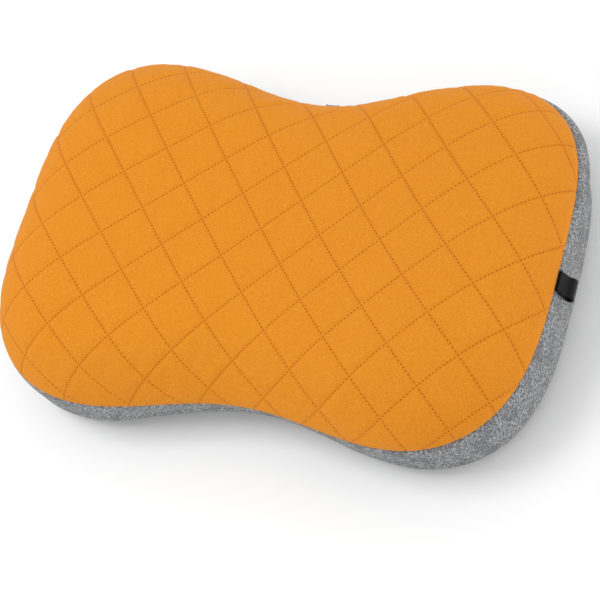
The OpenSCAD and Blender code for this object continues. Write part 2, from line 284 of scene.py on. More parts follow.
def quilt_to_face(a, b, depth=0.0):
    """Lays the quilting over the top, so that each point keeps its distance from the middle.

    Returns the points, and how much cloth is left from each to the edge seam, at most 0 past it."""
    da, db = (a - QUILT_SHIFT[0]) * QUILT_CELL, (b - QUILT_SHIFT[1]) * QUILT_CELL
    ex = (da + db) / math.sqrt(2) * (1 - QUILT_STRETCH)
    ey = (da - db) / math.sqrt(2) * (1 + QUILT_STRETCH)
    px, py = ex / QUILT_REACH, ey / QUILT_REACH
    ex, ey = (ex * (1 + 0.06 * px ** 2 - 0.02 * py ** 2) + QUILT_BOW * py ** 2,
              ey * (1 + 0.01 * px ** 2 - 0.07 * py ** 2) + 0.1 * QUILT_BOW * px ** 2)
    mx = ex * math.cos(QUILT_TURN) - ey * math.sin(QUILT_TURN)
    my = ex * math.sin(QUILT_TURN) + ey * math.cos(QUILT_TURN)
    angle, reach = np.arctan2(my, mx), np.hypot(mx, my)
    path = dome(angle[:, None], SHARES[None, :], depth)
    lengths = np.linalg.norm(np.diff(path, axis=1), axis=2)
    run = np.concatenate([np.zeros((len(a), 1)), np.cumsum(lengths, axis=1)], axis=1)
    left = run[:, -1] - reach - EDGE_TURNED_IN
    past = left <= 0
    want = np.where(past, run[:, -1], reach)
    index = np.clip((run < want[:, None]).sum(axis=1), 1, len(SHARES) - 1)
    rows = np.arange(len(a))
    low, high = run[rows, index - 1], run[rows, index]
    part = (want - low) / np.maximum(high - low, 1e-9)
    share = SHARES[index - 1] + (SHARES[index] - SHARES[index - 1]) * part
    share[past] = 1.0
    return dome(angle, share, depth), left


def laid_out(a, b, depth=0.0, block=20000):
    """quilt_to_face in blocks, to save memory."""
    found = [quilt_to_face(a[i:i + block], b[i:i + block], depth) for i in range(0, len(a), block)]
    return np.concatenate([f[0] for f in found]), np.concatenate([f[1] for f in found])


def surface_normals(points, side):
    """Outward normals of a square grid of points."""
    grid = points.reshape(side, side, 3)
    across = np.gradient(grid, axis=1)
    down = np.gradient(grid, axis=0)
    normal = np.cross(across, down)
    normal *= np.sign(normal[..., 2:3] + 1e-12)
    return (normal / np.maximum(np.linalg.norm(normal, axis=2), 1e-12)[..., None]).reshape(-1, 3)


def ripple(x, y, size, seed):
    """Smooth wandering height between -1 and 1, from a few crossed waves."""
    total = np.zeros_like(x)
    for k in range(6):
        heading = seed * 1.7 + k * 2.399
        pitch = size * (0.75 + 0.13 * k)
        total += np.sin((x * math.cos(heading) + y * math.sin(heading)) * 2 * np.pi / pitch
                        + seed * 3.1 + k * 1.3)
    return total / 3.2


def fade_in(value, low, high):
    """0 below low, 1 above high, smooth between."""
    t = np.clip((value - low) / (high - low), 0, 1)
    return t * t * (3 - 2 * t)


def quilt_grid(per_square, depth=0.0):
    """A fine grid on the seams' own squares, laid over the top.

    Returns its bmesh, its places in squares, its points, and the cloth left from each."""
    bm = bmesh.new()
    segments = QUILT_SQUARES * per_square
    bmesh.ops.create_grid(bm, x_segments=segments, y_segments=segments, size=QUILT_SQUARES / 2)
    squares = np.array([v.co[:2] for v in bm.verts])
    layer = bm.loops.layers.uv.new("quilt")
    for face in bm.faces:
        for loop in face.loops:
            loop[layer].uv = loop.vert.co.xy
    bmesh.ops.reverse_faces(bm, faces=bm.faces)
    points, left = laid_out(squares[:, 0], squares[:, 1], depth)
    return bm, squares, points, left


def drop_outside(bm, left):
    """Cuts the grid off at the edge seam."""
    bm.verts.index_update()
    outside = [f for f in bm.faces if all(left[v.index] <= 0 for v in f.verts)]
    bmesh.ops.delete(bm, geom=outside, context="FACES")


def move_to(bm, points):
    """Moves the vertices to a list of points, in order."""
    for vert, point in zip(bm.verts, points):
        vert.co = point


SETTLE_PER_SQUARE = 10
FACE_PER_SQUARE = 20
PUFF_SHARE = 0.45
PUCKER_HIGH = 0.10 * MM
GROOVE_DEEP = 0.30 * MM
GROOVE_WIDE = 1.8
WANDER_HIGH = 0.35 * MM
FACE_STAND_OFF = 0.7 * MM
FACE_THICK = 0.8 * MM


def settled_puff(pressure=3.2, frames=14, cap=3.4 * MM):
    """Blows the squares up as cloth held along every seam. Returns how far each grid point rises."""
    bm, squares, points, left = quilt_grid(SETTLE_PER_SQUARE)
    side = QUILT_SQUARES * SETTLE_PER_SQUARE + 1
    normals = surface_normals(points, side)
    pillow = np.abs(np.sin(np.pi * squares[:, 0]) * np.sin(np.pi * squares[:, 1])) ** 0.55
    held = (np.abs(squares - np.round(squares)) < 0.3 / SETTLE_PER_SQUARE).any(axis=1) | (left <= 0)
    start = points + normals * (pillow * 0.8 * MM)[:, None]
    move_to(bm, start)
    bm.verts.index_update()
    grid_number = bm.verts.layers.int.new("number")
    for vert in bm.verts:
        vert[grid_number] = vert.index
    drop_outside(bm, left)
    kept = np.array([vert[grid_number] for vert in bm.verts])
    cloth_piece = new_piece("settling_cloth", bm, orange.material)
    group = cloth_piece.vertex_groups.new(name="held")
    group.add([int(i) for i in np.nonzero(held[kept])[0]], 1.0, "REPLACE")
    cloth = cloth_piece.modifiers.new("settle", "CLOTH")
    settings = cloth.settings
    settings.vertex_group_mass = "held"
    settings.quality = 5
    settings.mass = 0.15
    settings.tension_stiffness = 10
    settings.compression_stiffness = 10
    settings.shear_stiffness = 3
    settings.bending_stiffness = 0.05
    settings.shrink_min = -0.035
    settings.use_pressure = True
    settings.uniform_pressure_force = pressure
    settings.effector_weights.gravity = 0
    cloth.point_cache.frame_start, cloth.point_cache.frame_end = 1, frames
    for number in range(1, frames + 1):
        scene.frame_set(number)
    result = cloth_piece.evaluated_get(bpy.context.evaluated_depsgraph_get()).data
    after = np.array([v.co[:] for v in result.vertices])
    scene.frame_set(1)
    mesh = cloth_piece.data
    bpy.data.objects.remove(cloth_piece)
    bpy.data.meshes.remove(mesh)
    rise = np.zeros(len(points))
    rise[kept] = ((after - points[kept]) * normals[kept]).sum(axis=1)
    return np.clip(rise, 0, cap), side


def finer(values, side, times):
    """A square grid of values at a multiple of its fineness, with smooth steps between."""
    grid = values.reshape(side, side)
    new = np.linspace(0, side - 1, (side - 1) * times + 1)
    base = np.clip(new.astype(int), 0, side - 2)
    t = new - base
    for _ in range(2):
        padded = np.concatenate([grid[:1], grid, grid[-1:]])
        p0, p1, p2, p3 = (padded[base + k] for k in range(4))
        shape = (-1,) + (1,) * (grid.ndim - 1)
        s = t.reshape(shape)
        grid = (0.5 * (2 * p1 + (p2 - p0) * s + (2 * p0 - 5 * p1 + 4 * p2 - p3) * s ** 2
                       + (3 * p1 - p0 - 3 * p2 + p3) * s ** 3)).T
    return grid.reshape(-1)


orange = Finish("orange_micro_fleece")
quilt_uv = orange.node("ShaderNodeUVMap", {"uv_map": "quilt"})
row_a, row_b = orange.part(quilt_uv, 0), orange.part(quilt_uv, 1)
STITCHES_PER_CELL = 12
CELL_MM = QUILT_CELL / MM


def from_line(row):
    """Distance to the nearest seam of one family, in millimetres."""
    return abs((row + 0.5).math("FRACT") - 0.5) * CELL_MM


def from_hole(across, row):
    """Distance to the nearest needle hole on that seam, in millimetres."""
    down = abs((row * STITCHES_PER_CELL + 0.5).math("FRACT") - 0.5) * (CELL_MM / STITCHES_PER_CELL)
    return (across * across + down * down).math("SQRT")


near_a, near_b = from_line(row_a), from_line(row_b)
hole_a = 1 - orange.steps(from_hole(near_a, row_b), 0.3, 0.85)
hole_b = 1 - orange.steps(from_hole(near_b, row_a), 0.3, 0.85)
hole_mark = hole_a.math("MAXIMUM", hole_b * 0.95)
# Painted shade: the fleece is coloured darker beside each quilting seam, as the shade in the seam
# creases. It is twice as dark beside the first family of seams as beside the second.
painted_crease_shade_b = 0.5 - orange.steps(near_b, 0.0, 2.4) * 0.5
painted_crease_shade = (1 - orange.steps(near_a, 0.0, 2.4)).math("MAXIMUM", painted_crease_shade_b)
where = orange.place()
pile = orange.noise(where, 1400.0, 2.0, 0.6)
cloud = orange.noise(where, 18.0, 2.0)
face_colour = orange.mix(cloud, srgb(210, 122, 10), srgb(216, 129, 20))
fuzz = orange.noise(where, 5200.0, 2.0, 0.6)
pile_tips = orange.steps(pile * 0.7 + fuzz * 0.3, 0.42, 0.60)
face_colour = orange.mix(pile_tips * 0.9, face_colour, srgb(228, 149, 41))
# Painted shade in the creases beside the seams.
face_colour = orange.mix(painted_crease_shade * 0.18, face_colour, srgb(200, 107, 0))
# Painted shade: the needle holes are coloured dark orange-brown, as the shade inside the pits. The same
# mask also sinks them as bumps below.
face_colour = orange.mix(hole_mark * 0.85, face_colour, srgb(184, 98, 0))
pile_bump = orange.bump(pile * 0.6 + fuzz * 0.4, 0.00015, 0.8)
orange.surface(Base_Color=face_colour, Roughness=0.9, Sheen_Weight=0.12, Sheen_Roughness=0.5,
               Sheen_Tint=srgb(255, 200, 130), Specular_IOR_Level=0.25,
               Normal=orange.bump(hole_mark * -1, 0.0005, 0.9, pile_bump))

settle_rise, settle_side = settled_puff()


def face_lift(squares, per_square, left, share=1.0):
    """How far the quilt stands off its plain dome: puff, groove and small puckers."""
    rise = finer(settle_rise, settle_side, per_square // SETTLE_PER_SQUARE) * PUFF_SHARE * share
    rise *= 0.4 + 0.6 * fade_in(left / MM, 4, 36)
    off = np.abs(squares - np.round(squares)) * CELL_MM
    across = off.min(axis=1)
    over_a = off[:, 0] < off[:, 1]
    run = np.where(over_a, squares[:, 1], squares[:, 0]) * CELL_MM
    line = np.where(over_a, np.round(squares[:, 0]) * 7.3, np.round(squares[:, 1]) * 11.9)
    pucker = np.sin(run / 8.6 * 2 * np.pi + line) + 0.6 * np.sin(run / 5.3 * 2 * np.pi + 2.1 * line)
    rise += PUCKER_HIGH * pucker * np.exp(-((across - 3.2) / 2.6) ** 2) * share
    rise -= GROOVE_DEEP * np.exp(-(across / GROOVE_WIDE) ** 2) * share
    rise += WANDER_HIGH * ripple(squares[:, 0], squares[:, 1], 2.7, 1.0) * np.minimum(across / 6, 1)
    return (rise + FACE_STAND_OFF) * fade_in(left / MM, -0.5, 7.0)


def thicken(piece, thickness, offset=-1):
    """Gives a sheet its cloth's thickness, inwards unless offset is 0."""
    wall = piece.modifiers.new("thickness", "SOLIDIFY")
    wall.thickness = thickness
    wall.offset = offset


face, squares, points, left = quilt_grid(FACE_PER_SQUARE)
side = QUILT_SQUARES * FACE_PER_SQUARE + 1
normals = surface_normals(points, side)
lift = face_lift(squares, FACE_PER_SQUARE, left)
move_to(face, points + normals * lift[:, None])
drop_outside(face, left)
face_piece = new_piece("quilted_face", face, orange.material, "pillow",
                       ("quilted_top_panel",))
thicken(face_piece, FACE_THICK)

# ------------------------------------------------------------------------------
# Quilting thread: one short stitch lies in the crease between each two needle holes. It is
# orange polyester, a little deeper in colour than the fleece, and goes through all the layers.
# ------------------------------------------------------------------------------

STITCH_LONG = 2.3 * MM
STITCH_SUNK = 0.42 * MM
STITCH_CLEAR = 3 * MM
THREAD_THICK = 0.5 * MM


def gather(template, places):
    """Puts a copy of a small mesh at each place, in one bmesh."""
    bm = bmesh.new()
    for place in places:
        copy = template.copy()
        copy.transform(place)
        bm.from_mesh(copy)
        bpy.data.meshes.remove(copy)
    return bm


def small_mesh(bm, name):
    """A finished bmesh as a mesh, to copy to many places."""
    mesh = bpy.data.meshes.new(name)
    bm.to_mesh(mesh)
    bm.free()
    return mesh


def one_stitch():
    """A thread's short visible run, sunk at both ends."""
    bm = bmesh.new()
    bmesh.ops.create_uvsphere(bm, u_segments=6, v_segments=4, radius=THREAD_THICK / 2)
    bmesh.ops.scale(bm, vec=(1, 1, STITCH_LONG / THREAD_THICK), verts=bm.verts)
    bmesh.ops.rotate(bm, matrix=Matrix.Rotation(math.radians(90), 3, "Y"), verts=bm.verts)
    return small_mesh(bm, "one_stitch")


def frames_along(start, end, up):
    """A place for each stitch, with its x axis from start to end."""
    middle = (start + end) / 2
    forward = end - start
    forward /= np.linalg.norm(forward, axis=1)[:, None]
    side = np.cross(up, forward)
    side /= np.linalg.norm(side, axis=1)[:, None]
    top = np.cross(forward, side)
    for m, f, s, t in zip(middle, forward, side, top):
        yield Matrix(((f[0], s[0], t[0], m[0]), (f[1], s[1], t[1], m[1]),
                      (f[2], s[2], t[2], m[2]), (0, 0, 0, 1)))


thread = Finish("orange_thread")
strands = thread.noise(thread.place(), 2600.0, 1.0)
thread.surface(Base_Color=thread.mix(strands, srgb(206, 114, 4), srgb(234, 146, 32)), Roughness=0.6,
               Specular_IOR_Level=0.15, Normal=thread.bump(strands, 0.0001, 0.6))

half = QUILT_SQUARES / 2
line_numbers = np.arange(-half, half + 1)
hole_numbers = np.arange(-half * STITCHES_PER_CELL, half * STITCHES_PER_CELL) / STITCHES_PER_CELL
line_grid, hole_grid = [g.reshape(-1) for g in np.meshgrid(line_numbers, hole_numbers)]
stitch_places = []
for first in (True, False):
    ends = []
    for step in (0.0, 1.0 / STITCHES_PER_CELL):
        pair = (line_grid, hole_grid + step) if first else (hole_grid + step, line_grid)
        ends.append(laid_out(*pair))
    inside = (ends[0][1] > STITCH_CLEAR) & (ends[1][1] > STITCH_CLEAR)
    start, end = ends[0][0][inside], ends[1][0][inside]
    away = (start + end) / 2 - np.array([0, 0, 0.02])
    up = away * np.array([0.35, 0.35, 1.0])
    up /= np.linalg.norm(up, axis=1)[:, None]
    sunk = up * STITCH_SUNK
    stitch_places += list(frames_along(start + sunk, end + sunk, up))
new_piece("quilting_thread", gather(one_stitch(), stitch_places), thread.material, "pillow")

# ------------------------------------------------------------------------------
# Wadding and lining under the face: soft white polyester, and a thin spunbond cloth that keeps
# its fibres in. Both are caught by the same quilting seams, and follow the face's squares.
# ------------------------------------------------------------------------------

LAYER_PER_SQUARE = 10
WADDING_DEPTH = 1.3 * MM
WADDING_THICK = 3.4 * MM
LINING_DEPTH = 5.6 * MM
LINING_THICK = 0.4 * MM

fibre = Finish("wadding_fibre")
tangle = fibre.noise(fibre.place((1, 1, 0.4)), 420.0, 4.0, 0.65)
fibre.surface(Base_Color=fibre.mix(tangle, srgb(226, 224, 218), srgb(250, 249, 245)), Roughness=0.95,
              Sheen_Weight=0.3, Normal=fibre.bump(tangle, 0.0008, 0.8))

lining_finish = Finish("spunbond_lining")
bonds = lining_finish.node("ShaderNodeTexVoronoi", {}, {
    "Vector": lining_finish.place(), "Scale": 700.0})
lining_finish.surface(
    Base_Color=lining_finish.mix(lining_finish.steps(bonds, 0.1, 0.35), srgb(196, 196, 192),
                                 srgb(224, 224, 220)),
    Roughness=0.8, Normal=lining_finish.bump(bonds, 0.0002, 0.5))


def quilt_layer(name, depth, thick, share, material, stands_for):
    """A layer under the face that follows a share of its puff."""
    bm, squares, points, left = quilt_grid(LAYER_PER_SQUARE, depth)
    normals = surface_normals(points, QUILT_SQUARES * LAYER_PER_SQUARE + 1)
    lift = face_lift(squares, LAYER_PER_SQUARE, left, share) * share - FACE_STAND_OFF
    move_to(bm, points + normals * lift[:, None])
    drop_outside(bm, left)
    piece = new_piece(name, bm, material, "pillow", (stands_for,))
    thicken(piece, thick)
    return piece


wadding_piece = quilt_layer("polyester_wadding", WADDING_DEPTH, WADDING_THICK, 0.9, fibre.material,
                            "quilt_wadding")
lining_piece = quilt_layer("quilt_lining", LINING_DEPTH, LINING_THICK, 0.3, lining_finish.material,
                           "quilt_backing")

# ------------------------------------------------------------------------------
# Cover base: grey heather knit, one piece from the edge seam down the side and across the
# underside. It is pulled tight over the bladder, with a zip opening below and a valve hole behind.
# ------------------------------------------------------------------------------

WIDEST_HEIGHT = 28 * MM
CORNER_RUN = 42 * MM
CORNER_POWER = 0.65
BASE_ARCH = 7 * MM
ARCH_REACH = 140 * MM
SEAM_GAP = 0.3 * MM
SLOT_LONG = 183 * MM
SLOT_WIDE = 8 * MM
VALVE_HEIGHT = 28.5 * MM
VALVE_WALL = 129.4585 * MM
VALVE_HOLE = 12.8 * MM
KNIT_THICK = 0.8 * MM
SIDE_TUCK = 4 * MM
WAIST_TUCK = 3 * MM
LOBE_BULGE = 5.2 * MM
FRONT_TUCK_REACH = 0.075
REAR_TUCK_REACH = 0.08
KNIT_TURN = (0, 0, math.radians(28))
front_tuck = SIDE_TUCK + WAIST_TUCK * np.exp(-(outline[:, 0] / FRONT_TUCK_REACH) ** 2)
rear_tuck = SIDE_TUCK * (1 - np.exp(-(outline[:, 0] / REAR_TUCK_REACH) ** 4))
drawn_in = np.where(outline[:, 1] < 0, front_tuck, rear_tuck)


def arch(x):
    """The height of the hollow under the middle of the base."""
    return BASE_ARCH * np.clip(1 - (np.abs(x) / ARCH_REACH) ** 4, 0, None) ** 2


def wall_ring(v, depth, drop):
    """A ring of the side wall, from 0 at its widest to 1 at the edge seam."""
    z = WIDEST_HEIGHT + (seam_height - drop - WIDEST_HEIGHT) * v
    rise = (z - WIDEST_HEIGHT) / (seam_height - WIDEST_HEIGHT)
    tuck = drawn_in * np.clip(1 - rise, 0, None) ** 1.4
    bulge = LOBE_BULGE * rear_lobe * np.sin(np.pi * np.clip(rise, 0, 1) ** 1.3)
    return np.column_stack([inward(depth + seam_inset * rise ** 2 + tuck - bulge), z])


def corner_ring(turn, depth):
    """A ring of the rounded lower corner."""
    under = math.sin(turn) ** CORNER_POWER
    wall = depth + drawn_in
    line = inward(wall + (CORNER_RUN - wall) * (1 - max(math.cos(turn), 0) ** CORNER_POWER))
    z = depth + (WIDEST_HEIGHT - depth) * (1 - under) + arch(line[:, 0]) * under
    return np.column_stack([line, z])


def under_ring(share, depth):
    """A ring of the underside, at a share of the way out."""
    line = corner_ring(math.pi / 2, depth)[:, :2] * share
    return np.column_stack([line, depth + arch(line[:, 0])])


def bowl_rings(depth, drop, walls=16, corners=18, unders=18):
    """Rings of a bowl from the edge seam, down the wall, round the corner and in to the middle."""
    rings = [wall_ring(1 - k / walls, depth, drop) for k in range(walls)]
    rings += [corner_ring(math.pi / 2 * (k / corners) ** 1.15, depth) for k in range(corners)]
    rings += [under_ring(max(1 - k / unders, 0), depth) for k in range(unders + 1)]
    return rings


def grown_rings(rings):
    """A band grown ring by ring from the first ring."""
    bm = bmesh.new()
    bmesh.ops.create_circle(bm, cap_ends=False, segments=len(rings[0]), radius=1)
    edges = list(bm.edges)
    for _ in rings[1:]:
        grown = bmesh.ops.extrude_edge_only(bm, edges=edges)["geom"]
        edges = [e for e in grown if isinstance(e, bmesh.types.BMEdge)]
    move_to(bm, np.concatenate(rings))
    return bm


def ringed_shell(rings):
    """A shell of rings that ends in a point, with a UV map of its flat cut in metres."""
    stack = np.array(rings)
    steps = np.linalg.norm(np.diff(stack[::-1], axis=0), axis=2)
    run = np.concatenate([np.zeros((1, len(stack[0]))), np.cumsum(steps, axis=0)])[::-1]
    bearing = np.arctan2(outline[:, 1], outline[:, 0])
    flat = np.stack([run * np.cos(bearing), run * np.sin(bearing)], axis=2).reshape(-1, 2)
    bm = grown_rings(rings)
    bm.verts.index_update()
    layer = bm.loops.layers.uv.new("knit")
    for face in bm.faces:
        for loop in face.loops:
            loop[layer].uv = flat[loop.vert.index]
    bmesh.ops.remove_doubles(bm, verts=bm.verts, dist=1e-6)
    bm.normal_update()
    if sum(f.normal.z * f.calc_area() for f in bm.faces) * (stack[-1, 0, 2] - stack[0, 0, 2]) < 0:
        bmesh.ops.reverse_faces(bm, faces=bm.faces)
    return bm


def open_hole(bm, radius):
    """Opens the valve's round hole in the rear wall."""
    inside = {v for v in bm.verts
              if v.co.y > 0.05 and math.hypot(v.co.x, v.co.z - VALVE_HEIGHT) < radius}
    bmesh.ops.delete(bm, geom=[f for f in bm.faces if all(v in inside for v in f.verts)],
                     context="FACES")
    for vert in bm.verts:
        away = Vector((vert.co.x, 0, vert.co.z - VALVE_HEIGHT))
        if vert.co.y > 0.05 and away.length < radius:
            vert.co += away.normalized() * (radius - away.length)


def shaped_bowl(depth, drop):
    """The bowl's rings as tight cloth: drawn in and puckered at the edge seam, softly uneven."""
    rings = bowl_rings(depth, drop)
    sides = np.linalg.norm(np.roll(outline, -1, axis=0) - outline, axis=1)
    seam_run = np.cumsum(sides) / MM
    shaped = []
    fall = np.zeros(AROUND)
    last = rings[0]
    for ring in rings:
        fall = fall + np.linalg.norm(ring - last, axis=1) / MM
        last = ring
        pucker = np.sin(seam_run / 8.9 * 2 * np.pi) + 0.7 * np.sin(seam_run / 6.1 * 2 * np.pi + 1.0)
        move = 0.16 * pucker * np.exp(-fall / 6.0) - 0.9 * np.exp(-(fall / 1.6) ** 2)
        move = move + 0.45 * ripple(seam_run, fall * 2.2, 90.0, 2.0) * fade_in(fall, 4, 20)
        move = move * np.clip(ring[:, 2] / (12 * MM), 0, 1)
        moved = ring.copy()
        moved[:, :2] += outward * (move * MM)[:, None]
        shaped.append(moved)
    return shaped


knit = Finish("grey_heather_knit")
cut = knit.place(uv="knit")
streak = knit.noise(knit.place((260, 900, 1), KNIT_TURN, uv="knit"), 1.0, 3.0, 0.6)
cross_streak = knit.noise(knit.place((800, 300, 1), KNIT_TURN, uv="knit"), 1.0, 2.0, 0.6)
fleck = knit.noise(cut, 700.0, 2.0, 0.5)
mottle = knit.noise(cut, 55.0, 3.0, 0.55)
wale = knit.node("ShaderNodeTexWave", {"wave_type": "BANDS", "bands_direction": "X"}, {
    "Vector": knit.place((1, 1, 1), KNIT_TURN, uv="knit"), "Scale": 300.0,
    "Distortion": 2.5, "Detail": 1.0, "Detail Scale": 4.0})
yarn = knit.steps(streak * 0.6 + cross_streak * 0.4, 0.42, 0.60)
knit_colour = knit.mix(yarn, srgb(74, 76, 79), srgb(190, 191, 192))
knit_colour = knit.mix(knit.steps(fleck, 0.54, 0.66) * 0.75, knit_colour, srgb(56, 58, 61))
knit_colour = knit.mix(knit.steps(mottle, 0.46, 0.64) * 0.5, knit_colour, srgb(78, 80, 83))
knit.surface(Base_Color=knit_colour, Roughness=0.92, Sheen_Weight=0.15, Sheen_Roughness=0.6,
             Normal=knit.bump(wale * 0.6 + fleck * 0.7, 0.0004, 0.8))

base = ringed_shell(shaped_bowl(0.0, SEAM_GAP))
near_slot = [f for f in base.faces if f.calc_center_median().length < 0.13 and f.normal.z < -0.8]
lengthwise, crosswise = Vector((1, 0, 0)), Vector((0, 1, 0))
for direction, at in ((lengthwise, SLOT_LONG / 2), (lengthwise, -SLOT_LONG / 2),
                      (crosswise, SLOT_WIDE / 2), (crosswise, -SLOT_WIDE / 2)):
    faces = [f for f in near_slot if f.is_valid]
    geom = faces + list({e for f in faces for e in f.edges}) + list({v for f in faces for v in f.verts})
    cut_faces = bmesh.ops.bisect_plane(base, geom=geom, plane_co=direction * at, plane_no=direction)
    near_slot = [g for g in cut_faces["geom"] if isinstance(g, bmesh.types.BMFace)]
bmesh.ops.delete(base, context="FACES", geom=[
    f for f in base.faces
    if abs(f.calc_center_median().x) < SLOT_LONG / 2 and abs(f.calc_center_median().y) < SLOT_WIDE / 2
    and f.calc_center_median().z < 0.012])
open_hole(base, VALVE_HOLE)
base_piece = new_piece("knit_base_cover", base, knit.material, "pillow", ("cover_base",))
thicken(base_piece, KNIT_THICK)

# ------------------------------------------------------------------------------
# Seam tape: a black woven binding, sewn in with the face and the base. It wraps their raw edges
# inside the edge seam, all the way round.
# ------------------------------------------------------------------------------

woven_black = Finish("black_woven_binding")
ribs = woven_black.node("ShaderNodeTexWave", {"wave_type": "BANDS", "bands_direction": "DIAGONAL"}, {
    "Vector": woven_black.place(), "Scale": 520.0, "Distortion": 0.6})
woven_black.surface(Base_Color=woven_black.mix(ribs, srgb(20, 20, 22), srgb(46, 46, 50)), Roughness=0.7,
                    Normal=woven_black.bump(ribs, 0.0002, 0.8))

TAPE_DEPTH = 1.4 * MM
TAPE_DROPS = (1.7, 2.7, 4.1, 5.5)
tape_bm = grown_rings([wall_ring(1.0, TAPE_DEPTH, drop * MM) for drop in TAPE_DROPS])
bmesh.ops.recalc_face_normals(tape_bm, faces=tape_bm.faces)
if sum(f.normal.dot(f.calc_center_median()) for f in tape_bm.faces) < 0:
    bmesh.ops.reverse_faces(tape_bm, faces=tape_bm.faces)
tape_piece = new_piece("seam_binding_tape", tape_bm, woven_black.material, "pillow",
                       ("seam_tape",))
thicken(tape_piece, 0.6 * MM)

# ------------------------------------------------------------------------------
# Webbing loops: 16 mm black polyester webbing, folded over and caught in the edge seam at the
# middle of each end. Each hangs against the side wall and swings about the seam.
# ------------------------------------------------------------------------------

LOOP_AXIS = (227.3 * MM, 66.2 * MM)
LOOP_TILT = math.radians(79)
LOOP_WIDE = 16 * MM
LOOP_FORWARD = 10.5 * MM
WEBBING_THICK = 1.1 * MM

webbing = Finish("black_webbing")
weave_u = webbing.part(webbing.place(uv="weave"), 0)
weave_v = webbing.part(webbing.place(uv="weave"), 1)
cord_rows = (weave_v * (2 * math.pi / 0.9)).math("SINE")
pick_rows = (weave_u * (2 * math.pi / 1.1)).math("SINE")
basket = cord_rows * pick_rows
webbing.surface(Base_Color=webbing.mix(basket * 0.5 + 0.5, srgb(6, 6, 7), srgb(20, 20, 22)),
                Roughness=0.28, Specular_IOR_Level=0.12,
                Normal=webbing.bump(basket, 0.00012, 0.5))


def loop_path():
    """The webbing's middle line, in millimetres down and out from the seam: out, round and back."""
    outer = [(-0.5, 0.45), (0.5, 0.6), (3, 1.5), (5.5, 2.3), (7.5, 2.7), (8.8, 2.6), (9.6, 3.1),
             (10.2, 4.6), (11.2, 6.2), (12.4, 6.9), (13.8, 7.1)]
    turn = [(15 + 2.9 * math.sin(t), 4.1 + 2.9 * math.cos(t))
            for t in np.linspace(0.1, math.pi - 0.1, 14)]
    inner = [(14, 1.2), (11, 0.95), (8, 0.5), (4, -0.1), (1, -0.45), (-0.5, -0.5)]
    points = np.array(outer + turn + inner)
    run = np.concatenate([[0], np.cumsum(np.linalg.norm(np.diff(points, axis=0), axis=1))])
    for _ in range(2):
        points[1:-1] = (points[:-2] + 2 * points[1:-1] + points[2:]) / 4
    return points, run


def webbing_loop(side):
    """A strip of webbing bent along the loop's path, at one end of the pillow."""
    points, run = loop_path()
    bm = bmesh.new()
    lengths, widths = 72, 12
    bmesh.ops.create_grid(bm, x_segments=lengths, y_segments=widths, size=0.5)
    layer = bm.loops.layers.uv.new("weave")
    for f in bm.faces:
        for loop in f.loops:
            loop[layer].uv = ((loop.vert.co.x + 0.5) * run[-1], loop.vert.co.y * LOOP_WIDE / MM)
    for vert in bm.verts:
        at = (vert.co.x + 0.5) * run[-1]
        down, out = np.interp(at, run, points[:, 0]) * MM, np.interp(at, run, points[:, 1]) * MM
        across = vert.co.y * LOOP_WIDE
        x = LOOP_AXIS[0] + down * math.cos(LOOP_TILT) + out * math.sin(LOOP_TILT)
        z = LOOP_AXIS[1] - down * math.sin(LOOP_TILT) + out * math.cos(LOOP_TILT)
        vert.co = (x * side, -across * side - LOOP_FORWARD, z)
    return bm


for side, body, node in ((1, "right_loop", "loop_right"), (-1, "left_loop", "loop_left")):
    loop_piece = new_piece(body + "_webbing", webbing_loop(side), webbing.material, body,
                           (node,))
    thicken(loop_piece, WEBBING_THICK, 0)

# ------------------------------------------------------------------------------
# Zip under the middle of the base: two woven tapes sewn inside the slot, moulded teeth on their
# edges, stops, and a slider with a pull tab that lies flat in the arch.
# ------------------------------------------------------------------------------

ZIP_LONG = 184.0
TAPE_HEIGHT = 8.3
TAPE_NEAR = 0.8
TAPE_WIDE = 12.0
TEETH_LOW = 6.6
TOOTH_PITCH = 3.2
STITCH_ROW = 7.0
SLIDER_X = 83.0
SLIDER_LOW = 4.8
PULLER_HEIGHT = 2.3
PULLER_LONG = 22.0
to_metres = Matrix.Scale(MM, 4)


def block(bm, low, high, edge=0.2, segments=2):
    """A box between two corners, with rounded edges."""
    made = bmesh.ops.create_cube(bm, size=1)["verts"]
    bmesh.ops.scale(bm, vec=[h - l for l, h in zip(low, high)], verts=made)
    bmesh.ops.translate(bm, vec=[(h + l) / 2 for l, h in zip(low, high)], verts=made)
    bmesh.ops.bevel(bm, geom=list({e for v in made for e in v.link_edges}), offset=edge,
                    offset_type="OFFSET", segments=segments, profile=0.5, affect="EDGES", material=-1)


def turned(bm, profile, closed=True, steps=72, edge=0.15, across=None):
    """Turns a profile of (radius, height) about the z axis, and rounds its sharp edges.

    With across, the turned piece lies along x, about the point (y, z)."""
    verts = [bm.verts.new((r, 0, h)) for r, h in profile]
    edges = [bm.edges.new(pair) for pair in zip(verts, verts[1:])]
    if closed:
        edges.append(bm.edges.new((verts[-1], verts[0])))
    before = set(bm.faces)
    bmesh.ops.spin(bm, geom=verts + edges, cent=(0, 0, 0), axis=(0, 0, 1), angle=2 * math.pi,
                   steps=steps, use_merge=True)
    fresh = [f for f in bm.faces if f not in before]
    bmesh.ops.remove_doubles(bm, verts=list({v for f in fresh for v in f.verts}), dist=1e-4)
    fresh = [f for f in bm.faces if f not in before]
    bmesh.ops.recalc_face_normals(bm, faces=fresh)
    sharp = [e for f in fresh for e in f.edges if e.is_manifold and e.calc_face_angle() > 0.6]
    bmesh.ops.bevel(bm, geom=list(set(sharp)), offset=edge, offset_type="OFFSET", segments=2,
                    profile=0.5, affect="EDGES", material=-1)
    if across is not None:
        rounded = list({v for f in bm.faces if f not in before for v in f.verts})
        bmesh.ops.rotate(bm, matrix=Matrix.Rotation(math.pi / 2, 3, "Y"), verts=rounded)
        bmesh.ops.translate(bm, vec=(0, across[0], across[1]), verts=rounded)


